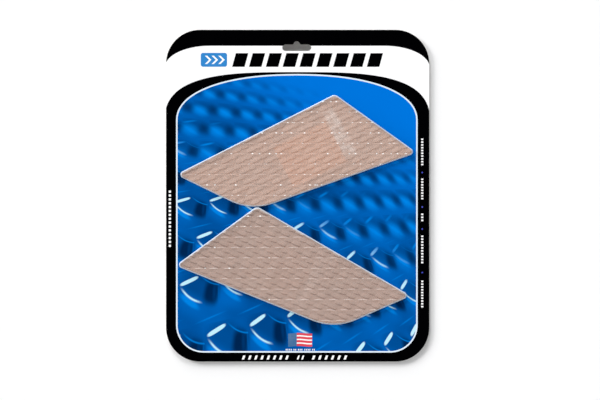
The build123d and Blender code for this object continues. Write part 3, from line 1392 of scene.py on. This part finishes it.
@dataclass
class Pad:
    """One stick-on pad on its liner: clear studded skin, adhesive film, liner and tape."""

    side: str
    hand: int
    tape_show: float
    liner_colour: Colour
    studs: StudPattern = field(default_factory=StudPattern)
    grid_step: float = 0.56 * MM
    bevel: float = 1.15 * MM
    bevel_steps: tuple[Point, ...] = ((0.60, 0.03), (0.88, 0.16), (1.0, 0.50))
    flat_margin: float = 1.1 * MM
    fade_width: float = 1.2 * MM
    bulge: float = 0.2 * MM
    bulge_ramp: float = 5 * MM
    clear: ClearFinish = ClearFinish(
        "clear_skin", (0.85, 0.66, 0.58), alpha=0.24, roughness=0.36, peel=6e-6, coat=0.0, index=1.12
    )
    # Bluish-white bevel colour: painted highlight of light refracted along the clear cut edge.
    edge: ClearFinish = ClearFinish(
        "skin_edge_painted_highlight", (0.58, 0.66, 0.75), alpha=0.78, roughness=0.30, peel=4e-6, coat=0.3
    )
    # Whiter faces that lean towards +Y: painted highlight.
    painted_highlight: ClearFinish = ClearFinish(
        "skin_painted_highlight", (0.98, 0.84, 0.78), alpha=0.34, roughness=0.08, peel=6e-6, coat=1.0
    )
    # Darker faces that lean away from +Y: painted shade.
    painted_shade: ClearFinish = ClearFinish(
        "skin_painted_shade", (0.38, 0.25, 0.21), alpha=0.48, roughness=0.30, peel=6e-6, coat=0.0, index=1.15
    )
    # Near-white ledge facets picked by chance: painted glints.
    glint: ClearFinish = ClearFinish(
        "skin_painted_glint", (0.97, 0.96, 0.95), alpha=0.80, roughness=0.08, peel=6e-6, coat=1.0
    )
    painted_highlight_tilt: float = 0.24
    painted_shade_tilt: float = -0.30
    glint_shares: Point = (0.0, 0.0)
    glint_places: Point = (0.3, 0.75)
    glint_rim: float = 12 * MM
    glint_rim_factor: float = 2.2
    glint_inner_factor: float = 0.8
    under: ClearFinish = ClearFinish(
        "skin_underside", (0.9, 0.9, 0.9), alpha=0.06, roughness=0.3, peel=2e-6, coat=0.0
    )

    def grid(self, outline: Loop) -> bmesh.types.BMesh:
        """Lay a fine grid over the outline's box, at the studs' heights.

        Args:
            outline: The skin's outline.

        Returns:
            The grid as a bmesh, trimmed to faces near the outline's inside.
        """
        low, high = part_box(f"{self.side}_grip_skin")
        reach = 2 * self.grid_step
        x, y = np.meshgrid(
            np.arange(low[0] - reach, high[0] + reach, self.grid_step),
            np.arange(low[1] - reach, high[1] + reach, self.grid_step),
        )
        depth = self.depth_inside(outline, x, y)
        eased = np.clip((depth - self.flat_margin) / self.fade_width, 0, 1)
        fade = eased * eased * (3 - 2 * eased)
        base = high[2] - self.studs.rise
        z = base + self.studs.heights(x, y, self.hand) * fade + self.bulge_heights(x, y)
        bm = bmesh.new()
        near = depth > -reach
        verts = {}
        for i, j in zip(*np.nonzero(near)):
            verts[i, j] = bm.verts.new((x[i, j], y[i, j], z[i, j]))
        for i, j in verts:
            ring = [(i, j), (i, j + 1), (i + 1, j + 1), (i + 1, j)]
            if all(corner in verts for corner in ring):
                bm.faces.new([verts[corner] for corner in ring])
        return bm

    def depth_inside(self, outline: Loop, x: np.ndarray, y: np.ndarray) -> np.ndarray:
        """How far places lie inside the convex outline, negative outside.

        Args:
            outline: The anticlockwise outline.
            x: The places' X.
            y: The places' Y.

        Returns:
            The depths in metres.
        """
        depth = np.full(x.shape, np.inf)
        for (ax, ay), (bx, by) in zip(outline, outline[1:] + outline[:1]):
            length = math.hypot(bx - ax, by - ay)
            depth = np.minimum(depth, ((bx - ax) * (y - ay) - (by - ay) * (x - ax)) / length)
        return depth

    def tape_square(self) -> tuple[Point, float, Point]:
        """Read the main tape patch's place from its CAD node.

        Returns:
            Its middle, its turn in radians, and half its length and width.
        """
        (outline,) = cad_loops(f"{self.side}_tape_square", at_top=True)
        points = np.array(outline)
        sides = np.roll(points, -1, axis=0) - points
        longest = sides[np.argmax(np.hypot(sides[:, 0], sides[:, 1]))]
        turn = math.atan2(longest[1], longest[0])
        if abs(turn) > math.pi / 2:
            turn -= math.copysign(math.pi, turn)
        axes = np.array([[math.cos(turn), math.sin(turn)], [-math.sin(turn), math.cos(turn)]])
        spread = points @ axes.T
        half = (spread.max(axis=0) - spread.min(axis=0)) / 2
        middle = (spread.max(axis=0) + spread.min(axis=0)) / 2 @ axes
        return tuple(middle), turn, tuple(half)

    def bulge_heights(self, x: np.ndarray, y: np.ndarray) -> np.ndarray:
        """The slight swell of the skin over the main tape patch.

        Args:
            x: Places along X.
            y: Places along Y.

        Returns:
            The added heights in metres.
        """
        middle, turn, half = self.tape_square()
        cos, sin = math.cos(turn), math.sin(turn)
        along = (x - middle[0]) * cos + (y - middle[1]) * sin
        across = (y - middle[1]) * cos - (x - middle[0]) * sin
        reach = np.maximum(np.abs(along) - half[0], np.abs(across) - half[1])
        way = np.clip(1 - reach / self.bulge_ramp, 0, 1)
        return self.bulge * self.tape_show * way * way * (3 - 2 * way)

    def cut(self, bm: bmesh.types.BMesh, outline: Loop) -> None:
        """Cut the grid along the convex outline, side by side.

        Args:
            bm: The grid.
            outline: The outline to cut to.
        """
        for (ax, ay), (bx, by) in zip(outline, outline[1:] + outline[:1]):
            bmesh.ops.bisect_plane(
                bm,
                geom=bm.verts[:] + bm.edges[:] + bm.faces[:],
                dist=1e-8,
                plane_co=(ax, ay, 0),
                plane_no=(by - ay, ax - bx, 0),
                clear_outer=True,
            )

    def rim(self, bm: bmesh.types.BMesh, top: float, bottom: float) -> None:
        """Turn the cut edge down over a rounded bevel to the underside, and close it.

        Args:
            bm: The cut grid.
            top: The flat margin's height.
            bottom: The underside's height.
        """
        border = {
            vert: [edge.other_vert(vert) for edge in vert.link_edges if edge.is_boundary]
            for vert in bm.verts
            if vert.is_boundary
        }
        start = min(border, key=lambda v: (v.co.x, v.co.y))
        ring = [start, border[start][0]]
        while True:
            ahead = [v for v in border[ring[-1]] if v is not ring[-2]][0]
            if ahead is start:
                break
            ring.append(ahead)
        flat = [(v.co.x, v.co.y) for v in ring]
        if loop_area(flat) < 0:
            ring.reverse()
            flat.reverse()
        normals = outward_normals(flat)
        levels = [(self.bevel * out, top - self.bevel * down) for out, down in self.bevel_steps]
        levels.append((self.bevel, bottom))
        last = ring
        for out, height in levels:
            ring_verts = [
                bm.verts.new((p[0] + n.x * out, p[1] + n.y * out, height))
                for p, n in zip(flat, normals)
            ]
            for i in range(len(ring_verts)):
                j = (i + 1) % len(ring_verts)
                face = bm.faces.new((last[j], last[i], ring_verts[i], ring_verts[j]))
                # Bevel faces take the bluish-white painted rim highlight.
                face.material_index = SkinPart.LIT_EDGE
            last = ring_verts
        cap = bm.faces.new(last[::-1])
        cap.material_index = SkinPart.UNDER

    def part_at(self, tilt: float) -> SkinPart:
        """Choose a top face's finish by how far it leans: painted highlight when it leans towards +Y,
        painted shade when it leans away.

        Args:
            tilt: The Y part of the face's normal.

        Returns:
            The part that the face belongs to.
        """
        if tilt > self.painted_highlight_tilt:
            return SkinPart.LIT_CREST
        if tilt < self.painted_shade_tilt:
            return SkinPart.SHADED_FLANK
        return SkinPart.CLEAR

    def add_glints(self, bm: bmesh.types.BMesh, outline: Loop) -> None:
        """Paint chosen facets of the ledges near white, as painted glints.

        Args:
            bm: The finished skin.
            outline: The skin's outline.
        """
        low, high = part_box(f"{self.side}_grip_skin")
        parts = (SkinPart.CLEAR, SkinPart.LIT_CREST)
        studs = [face for face in bm.faces if face.material_index in parts]
        centres = np.array([face.calc_center_median()[:2] for face in studs])
        x, y = centres[:, 0], centres[:, 1]
        reach = (x - low[0]) / (high[0] - low[0])
        by_rim = self.depth_inside(outline, x, y) < self.glint_rim
        factor = np.where(by_rim, self.glint_rim_factor, self.glint_inner_factor)
        share = np.interp(reach, self.glint_places, self.glint_shares) * factor
        # Chosen facets get the near-white painted glint.
        for face, glint_painted in zip(studs, self.studs.glints(x, y, self.hand, share)):
            if glint_painted:
                face.material_index = SkinPart.GLINT

    def build_skin(self) -> bpy.types.Object:
        """Build the clear studded skin in place of its plain CAD solid.

        Returns:
            The skin.
        """
        node = f"{self.side}_grip_skin"
        low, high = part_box(node)
        outline = cad_loops(node, at_top=False)[0]
        bm = self.grid(outline)
        self.cut(bm, shrink(outline, self.bevel))
        self.rim(bm, high[2] - self.studs.rise, low[2])
        bmesh.ops.recalc_face_normals(bm, faces=bm.faces)
        # Top faces that lean towards +Y get the painted highlight, and those that lean away get painted
        # shade.
        for face in bm.faces:
            if face.material_index == SkinPart.CLEAR:
                face.material_index = self.part_at(face.normal.y)
            face.smooth = face.material_index in (SkinPart.CLEAR, SkinPart.LIT_EDGE)
        self.add_glints(bm, outline)
        finishes = (self.clear, self.edge, self.under, self.painted_highlight, self.painted_shade, self.glint)
        materials = [finish.material() for finish in finishes]
        piece = mesh_object(f"{self.side}_studded_skin", bm, materials)
        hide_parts(node)
        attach(piece, f"{self.side}_pad")
        LOG.info("%s skin: %d faces", self.side, len(piece.data.polygons))
        return piece

    def build(self) -> None:
        """Build the skin and dress the layers under it."""
        self.build_skin()
        middle, turn, half = self.tape_square()
        liner = LinerFinish(
            f"{self.side}_liner_paper",
            self.liner_colour,
            tape_centre=middle,
            tape_turn=turn,
            tape_half=half,
            tape_show=self.tape_show,
        )
        dress(f"{self.side}_release_liner", liner.material())
        film = ClearFinish(
            f"{self.side}_adhesive",
            (0.92, 0.90, 0.85),
            alpha=0.08,
            roughness=0.30,
            peel=8e-6,
            coat=0.0,
            index=1.15,
        )
        dress(f"{self.side}_adhesive_film", film.material())
        foam = FoamFinish(f"{self.side}_foam_tape", srgb(236, 233, 222)).material()
        for patch in ("square", "far_tab", "near_tab"):
            dress(f"{self.side}_tape_{patch}", foam)


# ---------------------------------------------------------------- the studio


@dataclass(frozen=True)
class Lamp:
    """A far, soft lamp low over the card."""

    name: str
    strength: float
    elevation: float
    azimuth: float
    angle: float

    def hang(self) -> None:
        """Add the lamp to the scene, shining from its elevation and azimuth in degrees."""
        lamp = bpy.data.lights.new(self.name, "SUN")
        lamp.energy = self.strength
        lamp.angle = math.radians(self.angle)
        rise, turn = math.radians(self.elevation), math.radians(self.azimuth)
        flat = math.cos(rise)
        towards = Vector((flat * math.cos(turn), flat * math.sin(turn), math.sin(rise)))
        holder = bpy.data.objects.new(self.name, lamp)
        holder.rotation_euler = towards.to_track_quat("Z", "Y").to_euler()
        bpy.context.scene.collection.objects.link(holder)


@dataclass
class Studio:
    """Pale floor, two low soft lamps from the upper left, and a gradient sky."""

    floor_level: float = -0.8 * MM
    floor_reach: float = 6.0
    hollow_margin: float = 8 * MM
    hollow_depth: float = 14 * MM
    lamps: tuple[Lamp, ...] = (
        Lamp("key_light", 4.2, 13.0, 150.0, 15.0),
        Lamp("top_light", 4.0, 12.0, 104.0, 20.0),
    )
    sky_zenith: float = 0.26
    sky_horizon: float = 0.94

    def floor(self) -> None:
        """Lay a wide pale floor just under the card, with a hollow below its hang slot."""
        slot = cad_loops("printed_face_sheet", at_top=True)[1]
        low = [min(p[axis] for p in slot) - self.hollow_margin for axis in (0, 1)]
        high = [max(p[axis] for p in slot) + self.hollow_margin for axis in (0, 1)]
        reach = self.floor_reach
        bm = bmesh.new()
        rings = []
        for left, front, right, back, depth in (
            (-reach, -reach, reach, reach, 0.0),
            (low[0], low[1], high[0], high[1], 0.0),
            (low[0], low[1], high[0], high[1], self.hollow_depth),
        ):
            corners = ((left, front), (right, front), (right, back), (left, back))
            rings.append([bm.verts.new((x, y, self.floor_level - depth)) for x, y in corners])
        for outer, inner in zip(rings, rings[1:]):
            for i in range(4):
                j = (i + 1) % 4
                bm.faces.new((outer[i], outer[j], inner[j], inner[i]))
        bm.faces.new(rings[-1])
        paper = FloorFinish("studio_paper", (0.93, 0.93, 0.93)).material()
        piece = mesh_object("studio_floor", bm, [paper])

    def sky(self) -> None:
        """Light all round, dim overhead and brighter towards the horizon."""
        world = bpy.data.worlds.new("studio_sky")
        world.use_nodes = True
        bpy.context.scene.world = world
        pen = NodePen(world.node_tree)
        where = pen.node("TexCoord")
        split = pen.node("SeparateXYZ")
        pen.feed(split.inputs[0], where.outputs["Generated"])
        level = pen.smooth(split.outputs[2], 0.25, 0.98, self.sky_horizon, self.sky_zenith)
        background = world.node_tree.nodes["Background"]
        pen.feed(background.inputs["Strength"], level)
        background.inputs["Color"].default_value = (0.985, 0.99, 1.0, 1.0)

    def build(self) -> None:
        """Set up the floor, the lights and a plain display transform."""
        self.floor()
        for lamp in self.lamps:
            lamp.hang()
        self.sky()
        bpy.context.scene.view_settings.view_transform = "Standard"
        LOG.info("studio ready")


@dataclass
class TopCamera:
    """A long lens straight above the card."""

    distance: float = 2.4
    view_width: float = 0.6660
    aim: Point = (2.6 * MM, -4.8 * MM)
    sensor_width: float = 36.0
    clip_end: float = 50.0

    def build(self) -> None:
        """Hang the camera and make it the scene's own."""
        camera = bpy.data.cameras.new("top_camera")
        camera.sensor_width = self.sensor_width
        camera.lens = self.sensor_width * self.distance / self.view_width
        camera.clip_end = self.clip_end
        holder = bpy.data.objects.new("top_camera", camera)
        holder.location = (*self.aim, self.distance)
        bpy.context.scene.collection.objects.link(holder)
        bpy.context.scene.camera = holder
        LOG.info("camera %.2f m above the card, lens %.0f mm", self.distance, camera.lens)


def main() -> None:
    """Build the camera, the studio, the card and both pads."""
    logging.basicConfig(level=logging.INFO, format="%(name)s: %(message)s")
    TopCamera().build()
    Studio().build()
    Card().build()
    pads = (
        Pad(
            "upper",
            hand=1,
            tape_show=1.0,
            liner_colour=srgb(193, 143, 117),
            painted_highlight=UPPER_LIT_CREST,
            painted_shade=UPPER_SHADED_FLANK,
            glint_shares=(0.26, 0.66),
        ),
        Pad(
            "lower",
            hand=-1,
            tape_show=0.2,
            # A darker copy of the upper liner's brown: painted shade on the lower pad.
            liner_colour=srgb(162, 117, 96),
            glint_shares=(0.08, 0.03),
        ),
    )
    for pad in pads:
        pad.build()


if __name__ == "__main__":
    main()
